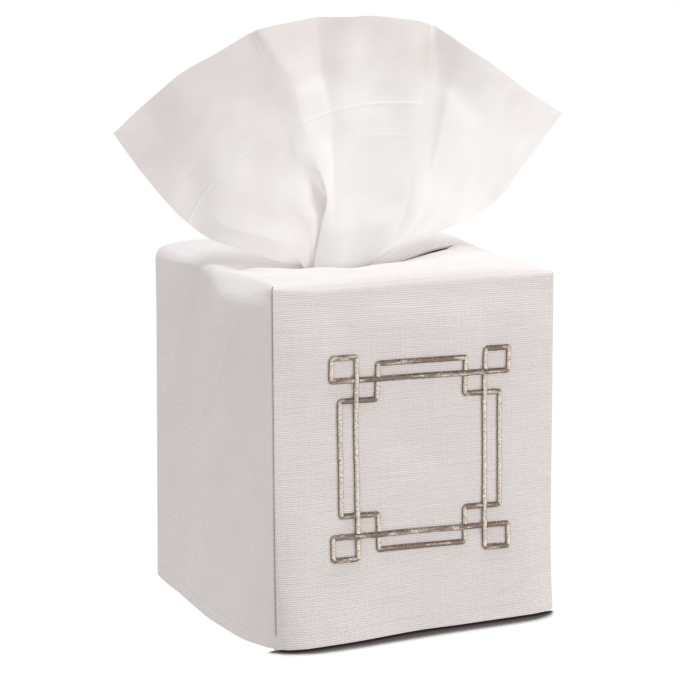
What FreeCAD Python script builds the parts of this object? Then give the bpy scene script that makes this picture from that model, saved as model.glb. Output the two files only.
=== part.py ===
# A sewn linen cover with an embroidered front, over a square pop-up tissue carton,
# with one tissue drawn up through the slit in the top.
# Millimetres. The origin is the centre of the carton's base, +Z is up and the
# embroidered front faces -Y.
import FreeCAD
import Part
import math
import os
from FreeCAD import Vector

os.makedirs("parts", exist_ok=True)

# Carton: outside sizes, board, and the mouth in its top
carton_width = 111.0
carton_depth = 111.0
carton_height = 129.6
board = 0.5
mouth_end_margin = 13.5
mouth_side_margin = 33.5

# Carton: plastic film under the mouth, with its own slit
film = 0.2
film_margin = 9.0
film_slit_length = 70.0
film_slit_clearance = 1.0

# Carton: flaps
flap_clearance = 0.6
flap_taper = 4.0
flap_gap = 1.0
glue_flap_width = 14.0
inner_flap_reach = 70.0
dust_flap_reach = 46.0

# Tissues left in the carton: a stack bent over into two legs
clip_clearance = 1.0
clip_slot = 5.0
head_space = 16.0
next_tissue_drop = 24.0
layer_gap = 0.2

# Linen cover: cloth, and the room between it and the carton
cloth = 0.7
side_ease = 1.3
top_ease = 0.9
hem_lift = 1.0
hem_height = 7.5
seam_allowance = 8.0
top_edge_radius = 4.0
top_edge_drop = 7.0

# Linen cover: swell of the top, and its slit with a facing sewn inside
swell = 8.8
slit_end_margin = 10.5
facing_end = 3.5
facing_width = 9.0
slit_clearance = 0.65

# Drawn tissue: one sheet spread above the slit and gathered in it
tissue = 0.4
fan_half_width = 94.0
fan_right = 4.0
fan_top = 94.0
fan_tip = 54.0
fan_edge_sag = 12.0
fan_fold = 9.0
fan_bow = 5.0
gather_half_width = 14.0
gather_fold = 4.4
gather_rise = 4.0
tail_gap = 0.3

# Embroidery: satin-stitched lines on the front, measured from the motif's centre
stitch_width = 2.2
stitch_crest = 1.2
stitch_height = 0.7
stitch_gap = 0.3
motif_right = 1.8
motif_up = 66.0
motif_drop = 1.8
square_half_width = 26.0
square_half_height = 28.4
loop_width = 10.3
loop_height = 9.1
notch_half_width = 32.8
notch_half_height = 34.2
notch_inner_half_width = 17.1
notch_inner_half_height = 19.2

# All cuts run this far past the solids that they cut
overrun = 5.0

# Across the top from left to right: the place, how far the cloth bows up from the front edge to the
# slit, the height of the slit's lips, the bow from there to the back edge, and the back edge's height
swell_shares = (
    (-1.0, 0.0, 0.0, 0.07, 0.42),
    (-0.75, 0.0, 0.0, 0.24, 0.68),
    (-0.37, 0.0, 0.0, 0.35, 0.74),
    (0.0, 0.0, 0.0, 0.36, 0.75),
    (0.37, 0.0, 0.05, 0.42, 0.77),
    (0.75, -0.1, 0.54, 0.33, 0.78),
    (1.0, -0.08, 0.56, 0.31, 0.62),
)

# How far the cloth has turned over at the sections that round off its left and right edges
edge_turn_shares = (0.35, 0.7, 0.92)

# Fold lines of the drawn tissue from left to right: the place, the depth behind its middle at the
# spread top edge, the bow forward half way up, and the depth in the gather
fold_shares = (
    (-1.0, 1.65, -0.15, -0.2),
    (-0.84, 1.3, -0.2, -0.9),
    (-0.7, 0.95, -0.05, -0.4),
    (-0.56, 0.55, 0.2, 0.5),
    (-0.42, -0.3, 0.55, 1.0),
    (-0.29, -0.3, 0.4, 0.4),
    (-0.15, 0.33, 0.15, -0.6),
    (-0.05, 0.1, 0.15, -1.0),
    (0.05, -0.22, 0.5, -0.3),
    (0.13, -0.5, 0.75, 0.6),
    (0.2, -0.72, 0.95, 0.9),
    (0.26, -0.95, 1.0, 0.3),
    (0.32, -0.22, 0.2, -0.5),
    (0.44, -0.55, 0.25, -1.0),
    (0.57, -0.83, 0.35, -0.4),
    (0.78, -0.33, 0.35, 0.4),
    (1.0, 0.33, 0.1, 1.0),
)

# Sizes that follow from those above
cover_width = carton_width + 2 * (side_ease + cloth)
cover_depth = carton_depth + 2 * (side_ease + cloth)
rim = carton_height + top_ease + cloth
side_top = rim - top_edge_drop
front_face = -cover_depth / 2
mouth_length = carton_width - 2 * mouth_end_margin
mouth_width = carton_depth - 2 * mouth_side_margin
inner_width = carton_width - 2 * board
inner_depth = carton_depth - 2 * board
gather_depth = gather_fold + tissue
slit_length = cover_width - 2 * slit_end_margin
slit_gap = gather_depth + 2 * slit_clearance
film_slit_gap = gather_depth + 2 * film_slit_clearance
clip_half_width = inner_width / 2 - clip_clearance
clip_half_depth = inner_depth / 2 - clip_clearance
clip_base = 3 * board
clip_top = carton_height - board - head_space
clip_bend = clip_top - clip_half_width
same_place = cloth / 1000

up = Vector(0, 0, 1)
turns = {"front": 0, "right": 90, "back": 180, "left": 270}


def keep(name, *solids):
    shape = solids[0] if len(solids) == 1 else Part.makeCompound(list(solids))
    shape.exportStep(f"parts/{name}.step")
    print(name, len(shape.Solids), round(shape.Volume, 1), shape.isValid())


def prism(outline, bottom, top):
    corners = [Vector(x, y, bottom) for x, y in outline]
    face = Part.Face(Part.makePolygon(corners + corners[:1]))
    return face.extrude(up * (top - bottom))


def slab(left, right, front, back, bottom, top):
    return prism([(left, front), (right, front), (right, back), (left, back)], bottom, top)


def turned(solid, side):
    solid.rotate(Vector(), up, turns[side])
    return solid


# One side of a square sleeve, cut at 45 degrees at both ends
def mitred_side(side, width, depth, thickness, bottom, top):
    across, out = (width / 2, depth / 2) if side in ("front", "back") else (depth / 2, width / 2)
    inside = across - thickness
    face = out - thickness
    return turned(prism([(-across, -out), (across, -out), (inside, -face), (-inside, -face)], bottom, top), side)


# A carton flap from the fold at one wall, a little narrower at its free edge
def flap(side, reach, bottom):
    across, out = (inner_width, inner_depth) if side in ("front", "back") else (inner_depth, inner_width)
    root = across / 2 - flap_clearance
    free = root - flap_taper
    fold = -out / 2
    edge = fold + reach
    return turned(prism([(-root, fold), (root, fold), (free, edge), (-free, edge)], bottom, bottom + board), side)


def ellipse(length, width, bottom, top):
    ring = Part.Ellipse(Vector(0, 0, bottom), length / 2, width / 2).toShape()
    return Part.Face(Part.Wire(ring)).extrude(up * (top - bottom))


# A slit held open: two arcs that meet in points
def lens(length, width, bottom, top):
    left = Vector(-length / 2, 0, bottom)
    right = Vector(length / 2, 0, bottom)
    near = Part.Arc(left, Vector(0, -width / 2, bottom), right).toShape()
    far = Part.Arc(right, Vector(0, width / 2, bottom), left).toShape()
    return Part.Face(Part.Wire([near, far])).extrude(up * (top - bottom))


def bowed(start, end, rise):
    if rise == 0:
        return Part.makeLine(start, end)
    return Part.Arc(start, (start + end) / 2 + up * rise, end).toShape()


# A curve over the top edge of the cloth, from its wall to where it has turned back by that angle
def edge_curve(x, out, level, radius, turn, way):
    points = []
    for angle in (math.pi / 2, (math.pi / 2 + turn) / 2, turn):
        y = out - radius * (1 - math.sin(angle))
        points.append(Vector(x, way * y, level - radius * (1 - math.cos(angle))))
    return Part.Arc(*points).toShape(), points[0], points[-1]


# One section across the cover from front to back: a wall, a rounded edge, the lips of the slit,
# and a higher rounded edge and a wall behind them
def top_section(x, inset, bottom, turn, shares):
    front_bow, lip, back_bow, back_edge = (share * swell for share in shares)
    out = cover_depth / 2 - inset
    level = rim - inset
    radius = top_edge_radius - inset
    drop = radius * (1 - math.cos(turn))
    front_curve, front_wall, front_rim = edge_curve(x, out, level, radius, turn, -1)
    back_curve, back_wall, back_rim = edge_curve(x, out, level + back_edge, radius, turn, 1)
    slit_lip = Vector(x, 0, level + lip - drop)
    front_foot = Vector(x, -out, bottom)
    back_foot = Vector(x, out, bottom)
    return Part.Wire(
        [
            Part.makeLine(front_foot, front_wall),
            front_curve,
            bowed(front_rim, slit_lip, front_bow),
            bowed(slit_lip, back_rim, back_bow),
            back_curve,
            Part.makeLine(back_wall, back_foot),
            Part.makeLine(back_foot, front_foot),
        ]
    )


# The solid that the cover would wrap at this depth inside its outer face: flat sides, rounded top
# edges, and a top that swells behind the slit and to the right
def wrapped_block(inset, bottom):
    flat_x = cover_width / 2 - top_edge_radius
    radius = top_edge_radius - inset
    full_turn = math.sin(edge_turn_shares[-1] * math.pi / 2)
    sections = [top_section(place * flat_x, inset, bottom, 0, shares) for place, *shares in swell_shares]
    for share in edge_turn_shares:
        turn = share * math.pi / 2
        x = flat_x + radius * math.sin(turn) / full_turn
        sections.insert(0, top_section(-x, inset, bottom, turn, swell_shares[0][1:]))
        sections.append(top_section(x, inset, bottom, turn, swell_shares[-1][1:]))
    return Part.makeLoft(sections, True, True)


# Carton sleeve: four walls between the top and bottom panels, closed by a glue flap inside one corner
wall_bottom = board
wall_top = carton_height - board
for side in turns:
    keep(f"carton_{side}_wall", mitred_side(side, carton_width, carton_depth, board, wall_bottom, wall_top))
glue_flap_front = -inner_depth / 2 + flap_clearance
glue_flap_bottom = clip_base + flap_clearance
glue_flap_top = wall_top - board - flap_clearance
keep(
    "carton_glue_flap",
    slab(
        -inner_width / 2,
        -inner_width / 2 + board,
        glue_flap_front,
        glue_flap_front + glue_flap_width,
        glue_flap_bottom,
        glue_flap_top,
    ),
)

# Carton top: a panel with an oval mouth, two flaps glued under it, and the slit film behind the mouth
top_panel_face = slab(
    -carton_width / 2, carton_width / 2, -carton_depth / 2, carton_depth / 2, wall_top, carton_height
)
keep(
    "carton_top_panel",
    top_panel_face.cut(ellipse(mouth_length, mouth_width, wall_top - overrun, carton_height + overrun)),
)
top_flap_reach = mouth_side_margin - board - film_margin - flap_gap
keep("carton_top_front_flap", flap("front", top_flap_reach, wall_top - board))
keep("carton_top_back_flap", flap("back", top_flap_reach, wall_top - board))
film_half_length = mouth_length / 2 + film_margin
film_half_width = mouth_width / 2 + film_margin
film_sheet = slab(
    -film_half_length, film_half_length, -film_half_width, film_half_width, wall_top - film, wall_top
)
keep("slit_film", film_sheet.cut(lens(film_slit_length, film_slit_gap, wall_top - overrun, wall_top + overrun)))

# Carton bottom: an outer panel, an inner flap on it and two dust flaps on that
keep(
    "carton_bottom_panel",
    slab(-carton_width / 2, carton_width / 2, -carton_depth / 2, carton_depth / 2, 0, board),
)
keep("carton_bottom_inner_flap", flap("back", inner_flap_reach, board))
keep(
    "carton_bottom_dust_flaps",
    flap("left", dust_flap_reach, 2 * board),
    flap("right", dust_flap_reach, 2 * board),
)

# Stack of folded tissues bent over the middle, with a slot between its two legs
slot = clip_slot / 2
leg_left = Vector(-clip_half_width, -clip_half_depth, clip_base)
bend_left = Vector(-clip_half_width, -clip_half_depth, clip_bend)
bend_top = Vector(0, -clip_half_depth, clip_top)
bend_right = Vector(clip_half_width, -clip_half_depth, clip_bend)
leg_right = Vector(clip_half_width, -clip_half_depth, clip_base)
slot_right_foot = Vector(slot, -clip_half_depth, clip_base)
slot_right = Vector(slot, -clip_half_depth, clip_bend)
slot_top = Vector(0, -clip_half_depth, clip_bend + slot)
slot_left = Vector(-slot, -clip_half_depth, clip_bend)
slot_left_foot = Vector(-slot, -clip_half_depth, clip_base)
clip_outline = Part.Wire(
    [
        Part.makeLine(leg_left, bend_left),
        Part.Arc(bend_left, bend_top, bend_right).toShape(),
        Part.makeLine(bend_right, leg_right),
        Part.makeLine(leg_right, slot_right_foot),
        Part.makeLine(slot_right_foot, slot_right),
        Part.Arc(slot_right, slot_top, slot_left).toShape(),
        Part.makeLine(slot_left, slot_left_foot),
        Part.makeLine(slot_left_foot, leg_left),
    ]
)
keep("tissue_clip", Part.Face(clip_outline).extrude(Vector(0, 2 * clip_half_depth, 0)))

# Next tissue, lying over the bend of the stack
along = Vector(0, 1, 0)
bend_axis = Vector(0, -clip_half_depth, clip_bend)
next_inner = clip_half_width + layer_gap
next_outer = next_inner + tissue
over_bend = Part.makeCylinder(next_outer, 2 * clip_half_depth, bend_axis, along)
under_bend = Part.makeCylinder(next_inner, 2 * clip_half_depth, bend_axis, along)
bend_cap = slab(
    -inner_width / 2,
    inner_width / 2,
    -clip_half_depth,
    clip_half_depth,
    clip_top - next_tissue_drop,
    clip_top + overrun,
)
keep("next_tissue", over_bend.cut(under_bend).common(bend_cap))

# Linen sides, mitred at the sewn corners
for side in turns:
    keep(f"{side}_panel", mitred_side(side, cover_width, cover_depth, cloth, hem_lift, side_top))

# Linen top, continuous with the sides over its rounded edges, cut by the slit
slit = lens(slit_length, slit_gap, side_top, rim + swell + overrun)
lining_face = wrapped_block(cloth, side_top - overrun)
keep("top_panel", wrapped_block(0, side_top).cut(lining_face).cut(slit))

# Facing turned inside round the slit
facing_half_length = slit_length / 2 + facing_end
facing_half_width = slit_gap / 2 + facing_width
facing_area = slab(
    -facing_half_length,
    facing_half_length,
    -facing_half_width,
    facing_half_width,
    side_top,
    rim + swell + overrun,
)
facing = lining_face.cut(wrapped_block(2 * cloth, side_top - overrun)).common(facing_area)
keep("slit_facing", facing.cut(slit))

# Hems turned up inside the lower edge
lined_width = cover_width - 2 * cloth
lined_depth = cover_depth - 2 * cloth
hem_top = hem_lift + hem_height
for side in turns:
    keep(f"{side}_hem", mitred_side(side, lined_width, lined_depth, cloth, hem_lift, hem_top))

# Seam allowances pressed against the left and right sides above the hems
seam_outer = lined_width / 2
seam_inner = seam_outer - cloth
seam_end = lined_depth / 2
seam_start = seam_end - seam_allowance
keep("front_left_seam", slab(-seam_outer, -seam_inner, -seam_end, -seam_start, hem_top, side_top))
keep("front_right_seam", slab(seam_inner, seam_outer, -seam_end, -seam_start, hem_top, side_top))
keep("back_left_seam", slab(-seam_outer, -seam_inner, seam_start, seam_end, hem_top, side_top))
keep("back_right_seam", slab(seam_inner, seam_outer, seam_start, seam_end, hem_top, side_top))


# A place on the front face from the motif's centre; the motif is sewn a little low on its right
def on_front(right, above):
    drop = motif_drop / 2 * right / square_half_width
    return Vector(motif_right + right, front_face, motif_up + above - drop)


# A satin-stitched line from one place to another, raised in the middle and run on to cover its corners
def stitched_line(start, end):
    run = (end - start).normalize()
    side = run.cross(Vector(0, 1, 0)).normalize()
    first = start - run * (stitch_width / 2)
    raised = first - Vector(0, stitch_height, 0)
    base = side * (stitch_width / 2)
    crest = side * (stitch_crest / 2)
    section = Part.Face(Part.makePolygon([first - base, raised - crest, raised + crest, first + base, first - base]))
    return section.extrude(run * ((end - start).Length + stitch_width))


def stitched(lines):
    solids = [stitched_line(on_front(*start), on_front(*end)) for start, end in lines]
    return solids[0].multiFuse(solids[1:]).removeSplitter()


# Looped square: four long lines that cross at the corners and turn back in a square loop
loop_right = square_half_width + loop_width
loop_above = square_half_height + loop_height
looped_lines = []
for sign in (-1, 1):
    looped_lines.append(((-loop_right, sign * square_half_height), (loop_right, sign * square_half_height)))
    looped_lines.append(((sign * square_half_width, -loop_above), (sign * square_half_width, loop_above)))
    for other in (-1, 1):
        loop_corner = (sign * loop_right, other * loop_above)
        looped_lines.append(((sign * loop_right, other * square_half_height), loop_corner))
        looped_lines.append(((sign * square_half_width, other * loop_above), loop_corner))
keep("embroidery_looped_square", stitched(looped_lines))

# Notched square: its corners step in, and it passes under the looped square at eight crossings
notched_lines = []
for sign in (-1, 1):
    bar = sign * notch_half_height
    post = sign * notch_half_width
    notched_lines.append(((-notch_inner_half_width, bar), (notch_inner_half_width, bar)))
    notched_lines.append(((post, -notch_inner_half_height), (post, notch_inner_half_height)))
    for other in (-1, 1):
        inner_corner = (sign * notch_inner_half_width, other * notch_inner_half_height)
        notched_lines.append(((sign * notch_inner_half_width, other * notch_half_height), inner_corner))
        notched_lines.append(((sign * notch_half_width, other * notch_inner_half_height), inner_corner))
crossing_width = stitch_width + 2 * stitch_gap
crossings = []
for start, end in looped_lines:
    first = on_front(*start)
    last = on_front(*end)
    run = (last - first).normalize()
    side = run.cross(Vector(0, 1, 0)).normalize()
    corner = first - run * (crossing_width / 2) - side * (crossing_width / 2) + Vector(0, overrun, 0)
    far = corner + run * ((last - first).Length + crossing_width)
    floor = Part.Face(
        Part.makePolygon([corner, far, far + side * crossing_width, corner + side * crossing_width, corner])
    )
    crossings.append(floor.extrude(Vector(0, -2 * overrun, 0)))
notched = stitched(notched_lines).cut(crossings)
keep("embroidery_notched_square", *notched.Solids)

# Drawn tissue: fold lines run from the tail through the gather in the slit to the spread top edge
tail_foot = clip_bend + next_outer + tail_gap
gather_top = rim + gather_rise
fan_arch = Part.Arc(
    Vector(fan_right - fan_half_width, 0, rim + fan_tip),
    Vector(fan_right, 0, rim + fan_top),
    Vector(fan_right + fan_half_width, 0, rim + fan_tip),
)
folds = []
for place, depth, bow, gather_depth_share in fold_shares:
    gather_y = gather_depth_share * gather_fold / 2 - tissue / 2
    foot = Vector(place * gather_half_width, gather_y, tail_foot)
    gather = Vector(place * gather_half_width, gather_y, gather_top)
    arch_place = fan_arch.FirstParameter + (place + 1) / 2 * (fan_arch.LastParameter - fan_arch.FirstParameter)
    top_edge = fan_arch.value(arch_place) + Vector(0, depth * fan_fold, 0)
    half_way = (gather + top_edge) / 2 - Vector(0, bow * fan_bow, fan_edge_sag * place**2)
    folds.append((foot, gather, half_way, top_edge))
behind = Vector(0, tissue, 0)
outlines = []
for foot, gather, half_way, top_edge in folds:
    outlines.append(
        Part.Wire(
            [
                Part.makeLine(foot, gather),
                Part.Arc(gather, half_way, top_edge).toShape(),
                Part.makeLine(top_edge, top_edge + behind),
                Part.Arc(top_edge + behind, half_way + behind, gather + behind).toShape(),
                Part.makeLine(gather + behind, foot + behind),
                Part.makeLine(foot + behind, foot),
            ]
        )
    )
faces = Part.makeLoft(outlines, False, True).Faces
for foot, gather, half_way, top_edge in (folds[0], folds[-1]):
    tail_edge = Part.makeLine(foot, gather)
    faces.append(tail_edge.extrude(behind))
    faces.append(Part.Arc(gather, half_way, top_edge).toShape().extrude(behind))
skin = Part.Shell(faces)
skin.sewShape()
drawn = Part.Solid(skin)
if drawn.Volume < 0:
    drawn.reverse()
keep("popped_tissue", drawn)
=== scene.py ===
import math

import bpy
import numpy as np
from mathutils import Matrix, Vector


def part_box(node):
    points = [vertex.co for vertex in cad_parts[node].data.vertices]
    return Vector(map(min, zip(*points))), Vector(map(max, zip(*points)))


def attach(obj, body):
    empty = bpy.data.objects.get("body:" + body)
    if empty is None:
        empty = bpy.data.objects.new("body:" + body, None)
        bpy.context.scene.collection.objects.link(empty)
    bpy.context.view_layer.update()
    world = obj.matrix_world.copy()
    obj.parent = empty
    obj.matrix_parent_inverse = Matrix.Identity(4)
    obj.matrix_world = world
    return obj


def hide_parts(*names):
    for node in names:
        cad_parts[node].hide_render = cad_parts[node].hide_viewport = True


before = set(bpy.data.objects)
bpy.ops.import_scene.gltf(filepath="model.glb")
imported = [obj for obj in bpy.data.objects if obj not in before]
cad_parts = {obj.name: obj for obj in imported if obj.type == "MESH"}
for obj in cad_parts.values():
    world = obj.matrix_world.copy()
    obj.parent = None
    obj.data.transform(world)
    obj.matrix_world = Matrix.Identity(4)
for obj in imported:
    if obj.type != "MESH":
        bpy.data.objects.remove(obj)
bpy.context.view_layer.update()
scene = bpy.context.scene
random = np.random.default_rng(5)
MM = 0.001

# Tools

sheet_sharp = math.radians(50)
# Swells vary between these shares of their wavelength
swell_spread = (0.7, 1.6)
thread_sides = 6
thread_end = 0.45
# The rings of a thread are turned from this direction
thread_guide = np.array([0.31, 0.47, 0.83])
tiny = 1e-9


def eased(t):
    t = np.clip(t, 0, 1)
    return t * t * (3 - 2 * t)


# 1 in the middle of a soft bump, and about a third at its reach
def bell(distance, reach):
    return np.exp(-((distance / reach) ** 2))


# 1 at the start of a height and 0 at its reach
def fading(distance, reach):
    return np.clip(1 - distance / reach, 0, 1)


def blended(a, b, share):
    return a + (b - a) * share


# A smooth curve through values at places; crease 1 makes a sharp bend at a place, 0 none
def through(places, values, at, crease=None):
    places = np.asarray(places, float)
    values = np.asarray(values, float)
    at = np.asarray(at, float)
    spread = (-1,) + (1,) * (values.ndim - 1)
    step = np.diff(places)
    slope = np.diff(values, axis=0) / step.reshape(spread)
    before = np.concatenate([slope[:1], slope])
    after = np.concatenate([slope, slope[-1:]])
    left = np.concatenate([step[:1], step])
    right = np.concatenate([step, step[-1:]])
    share = (right / (left + right)).reshape(spread)
    middle = before * share + after * (1 - share)
    sharp = np.zeros(len(places)) if crease is None else np.asarray(crease, float)
    sharp = sharp.reshape(spread)
    arriving = blended(middle, before, sharp)
    leaving = blended(middle, after, sharp)
    k = np.clip(np.searchsorted(places, at, side="right") - 1, 0, len(places) - 2)
    h = step[k].reshape(spread)
    t = ((at - places[k]) / step[k]).reshape(spread)
    t2 = t * t
    t3 = t * t * t
    return (
        (2 * t3 - 3 * t2 + 1) * values[k]
        + (t3 - 2 * t2 + t) * h * leaving[k]
        + (3 * t2 - 2 * t3) * values[k + 1]
        + (t3 - t2) * h * arriving[k + 1]
    )


# A smooth surface through a table of values or points, with creases along its columns
def net(rows, columns, table, v, u, column_crease=None):
    across = through(columns, np.swapaxes(np.asarray(table), 0, 1), u, column_crease)
    return through(rows, np.swapaxes(across, 0, 1), v)


# Soft random swells of about that wavelength over a plane
def swells(a, b, wavelength, count, seed):
    draw = np.random.default_rng(seed)
    total = np.zeros(np.broadcast(a, b).shape)
    for _ in range(count):
        turn = draw.uniform(0, math.tau)
        length = wavelength * draw.uniform(*swell_spread)
        phase = draw.uniform(0, math.tau)
        total = total + np.sin((a * math.cos(turn) + b * math.sin(turn)) * math.tau / length + phase)
    return total / math.sqrt(count)


# Four-cornered faces between neighbouring rows and columns of point numbers
def grid_faces(index):
    corners = [index[:-1, :-1], index[:-1, 1:], index[1:, 1:], index[1:, :-1]]
    return np.stack(corners, -1).reshape(-1, 4)


def point_numbers(rows, columns):
    return np.arange(rows * columns).reshape(rows, columns)


def mesh_piece(name, points, faces, material, uv=None):
    mesh = bpy.data.meshes.new(name)
    mesh.from_pydata((np.asarray(points).reshape(-1, 3) * MM).tolist(), [], np.asarray(faces).tolist())
    mesh.materials.append(material)
    if uv is not None:
        layer = mesh.uv_layers.new(name="cloth")
        corner = np.empty(len(mesh.loops), int)
        mesh.loops.foreach_get("vertex_index", corner)
        layer.data.foreach_set("uv", np.asarray(uv, float).reshape(-1, 2)[corner].ravel())
    mesh.shade_smooth()
    made = bpy.data.objects.new(name, mesh)
    scene.collection.objects.link(made)
    return made


# One sheet from a grid of points
def grid_piece(name, points, material, uv):
    return mesh_piece(name, points, grid_faces(point_numbers(*points.shape[:2])), material, uv)


# One mesh from several patches, each with points, faces and places on the cloth
def joined_piece(name, patches, material):
    points, faces, uv = [], [], []
    first = 0
    for patch_points, patch_faces, patch_uv in patches:
        points.append(patch_points.reshape(-1, 3))
        faces.append(first + patch_faces)
        uv.append(patch_uv.reshape(-1, 2))
        first += len(points[-1])
    return mesh_piece(name, np.concatenate(points), np.concatenate(faces), material, np.concatenate(uv))


# Gives a sheet its thickness, on the side away from its face
def thicken(obj, thickness):
    solid = obj.modifiers.new("thickness", "SOLIDIFY")
    solid.thickness = thickness * MM
    solid.offset = -1
    shaped = obj.evaluated_get(bpy.context.evaluated_depsgraph_get())
    mesh = bpy.data.meshes.new_from_object(shaped)
    obj.modifiers.clear()
    obj.data = mesh
    mesh.set_sharp_from_angle(angle=sheet_sharp)
    return obj


# Round threads, each with a line of points, a radius and how upright its seam runs, which the thread
# material turns into painted sheen
def thread_piece(name, threads, material):
    patches = []
    around = np.arange(thread_sides) * math.tau / thread_sides
    for line, radius, upright in threads:
        run = np.gradient(line, axis=0)
        run /= np.linalg.norm(run, axis=1)[:, None]
        side = np.cross(run, thread_guide)
        side /= np.linalg.norm(side, axis=1)[:, None]
        other = np.cross(run, side)
        n = len(line)
        taper = np.ones(n)
        taper[[0, -1]] = thread_end
        ring = side[:, None] * np.cos(around)[:, None] + other[:, None] * np.sin(around)[:, None]
        points = line[:, None] + ring * (radius * taper)[:, None, None]
        along = np.repeat(np.linspace(0, 1, n), thread_sides)
        index = point_numbers(n, thread_sides)
        faces = grid_faces(np.hstack([index, index[:, :1]]))
        patches.append((points, faces, np.stack([np.full(along.shape, upright), along], -1)))
    return joined_piece(name, patches, material)


# Materials

# At a scale of 1 the wave texture repeats at this distance
wave_repeat = math.tau / 20
white = (1.0, 1.0, 1.0, 1.0)
warm_white = (1.0, 0.985, 0.975)


# A material or a world made of shader nodes
class Look:
    def __init__(self, owner, output="OutputMaterial"):
        self.owner = owner
        owner.use_nodes = True
        self.tree = owner.node_tree
        self.tree.nodes.clear()
        self.out = self.node(output)

    def node(self, kind, inputs=None, **settings):
        made = self.tree.nodes.new("ShaderNode" + kind)
        for key, value in settings.items():
            setattr(made, key, value)
        for key, value in (inputs or {}).items():
            if hasattr(value, "is_output"):
                self.tree.links.new(value, made.inputs[key])
            else:
                made.inputs[key].default_value = value
        return made

    def sums(self, operation, a, b, clamp=False):
        return self.node("Math", {0: a, 1: b}, operation=operation, use_clamp=clamp).outputs[0]

    def times(self, a, b):
        return self.sums("MULTIPLY", a, b)

    # The sum of several values, each times its weight
    def weighted(self, *terms):
        parts = [self.times(value, weight) for value, weight in terms]
        total = parts[0]
        for part in parts[1:]:
            total = self.sums("ADD", total, part)
        return total

    # Goes from one result to another while the value goes from low to high
    def ranged(self, value, low_high, results, smooth=False):
        kind = "SMOOTHSTEP" if smooth else "LINEAR"
        inputs = {0: value, 1: low_high[0], 2: low_high[1], 3: results[0], 4: results[1]}
        return self.node("MapRange", inputs, interpolation_type=kind).outputs[0]

    def noise(self, vector, stretch, detail):
        placed = self.node("Mapping", {"Vector": vector, "Scale": stretch}).outputs[0]
        return self.node("TexNoise", {"Vector": placed, "Scale": 1.0, "Detail": detail}).outputs[0]

    # Wavering lines side by side at a pitch
    def bands(self, vector, direction, pitch, waver):
        inputs = {
            "Vector": vector,
            "Scale": wave_repeat / pitch,
            "Distortion": waver,
            "Detail": 2.0,
            "Detail Scale": 0.6,
        }
        return self.node("TexWave", inputs, wave_type="BANDS", bands_direction=direction).outputs[1]

    def blend(self, amount, deep, pale):
        inputs = {0: amount, 6: (*deep, 1.0), 7: (*pale, 1.0)}
        return self.node("Mix", inputs, data_type="RGBA", blend_type="MIX").outputs[2]

    def bump(self, height, strength, depth):
        return self.node("Bump", {"Strength": strength, "Distance": depth * MM, "Height": height}).outputs[0]

    def mixed(self, share, first, second):
        return self.node("MixShader", {0: share, 1: first, 2: second}).outputs[0]

    def done(self, shader):
        self.tree.links.new(shader, self.out.inputs["Surface"])
        return self.owner

    def principled(self, inputs):
        return self.done(self.node("BsdfPrincipled", inputs).outputs[0])


def new_look(name):
    return Look(bpy.data.materials.new(name))


# Linen: lumps per millimetre along and across the cloth, then the weave
row_lumps = (0.045, 1.3, 1.0)
column_lumps = (1.25, 0.04, 1.0)
grain_lumps = (0.9, 1.7, 1.0)
patch_lumps = (0.03, 0.05, 1.0)
weave_pitch = 0.8
weft_waver = 2.4
warp_waver = 1.0
linen_relief = 0.5


# Plain-woven linen: uneven threads both ways, the slubs mostly along the rows
def linen(name, pale, deep, slubs):
    look = new_look(name)
    place = look.node("TexCoord").outputs["UV"]
    rows = look.noise(place, row_lumps, 2.0)
    columns = look.noise(place, column_lumps, 2.0)
    grain = look.noise(place, grain_lumps, 1.0)
    patches = look.noise(place, patch_lumps, 2.0)
    weft = look.bands(place, "Y", weave_pitch, weft_waver)
    warp = look.bands(place, "X", weave_pitch, warp_waver)
    height = look.weighted((rows, 1.6), (columns, 0.35), (weft, 0.55), (warp, 0.12))
    tone = look.weighted(
        (look.times(weft, rows), 2.3 * slubs),
        (columns, 0.42 * slubs + 0.18),
        (grain, 1.15 * slubs),
        (patches, 0.33 * slubs + 0.27),
    )
    middle_tone = 1.52 * slubs - 0.275
    tone = look.sums("SUBTRACT", tone, middle_tone, clamp=True)
    inputs = {
        "Base Color": look.blend(tone, deep, pale),
        "Roughness": 0.85,
        "Specular IOR Level": 0.15,
        "Sheen Weight": 0.15,
        "Sheen Roughness": 0.5,
        "Normal": look.bump(height, 0.4 * slubs, linen_relief),
    }
    return look.principled(inputs)


# Tissue: lumps per millimetre, then where its painted light and shade change, up from the slit or right from
# its left edge
crepe_lumps = (0.25, 2.2, 1.0)
cloud_lumps = (0.045, 0.045, 1.0)
fibre_lumps = (0.8, 0.8, 1.0)
tissue_relief = 0.3
painted_light_low = (18.0, 100.0)
painted_shade_high = (55.0, 102.0)
painted_light_right = (45.0, 125.0)
painted_shade_right_end = (160.0, 185.0)
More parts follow.
